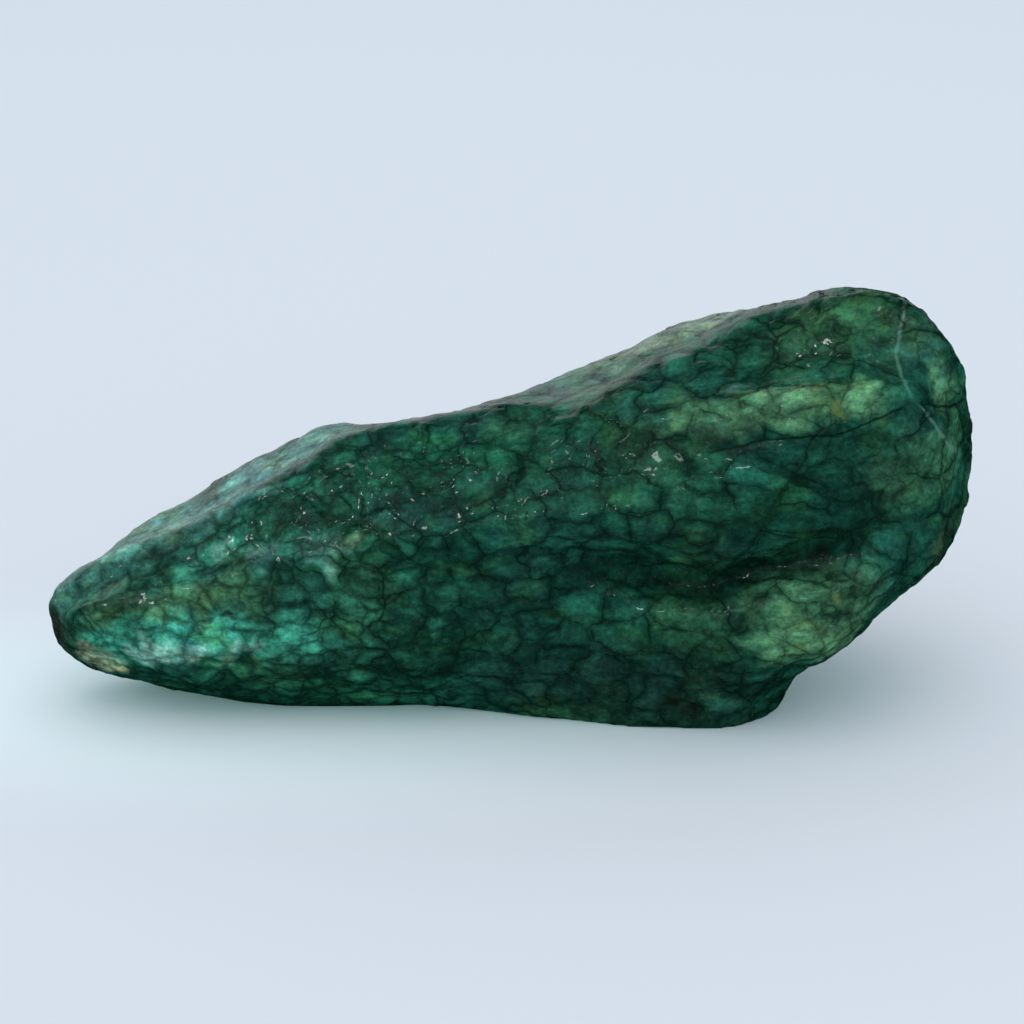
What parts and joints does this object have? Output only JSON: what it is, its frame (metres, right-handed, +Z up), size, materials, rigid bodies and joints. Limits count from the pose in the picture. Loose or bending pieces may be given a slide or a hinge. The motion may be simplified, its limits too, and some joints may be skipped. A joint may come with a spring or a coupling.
{
  "type": "raw emerald crystal",
  "caption": "Long wedge-shaped piece of rough emerald with a crackled green skin, a narrow tip, a tall overhanging head and a flat underside to rest on.",
  "frame": {"origin": "middle of the footprint, on the flat that the crystal rests on", "axes": "+X from the narrow tip to the tall broad end, +Y to the back, +Z up"},
  "size_m": [0.0794, 0.0254, 0.0362],
  "materials": {
    "emerald": "waxy, oiled natural surface: translucent green cells between dark green-black veins, with paler yellow-green and turquoise patches"
  },
  "bodies": {
    "root": {"emerald_crystal": "emerald"}
  },
  "joints": []
}
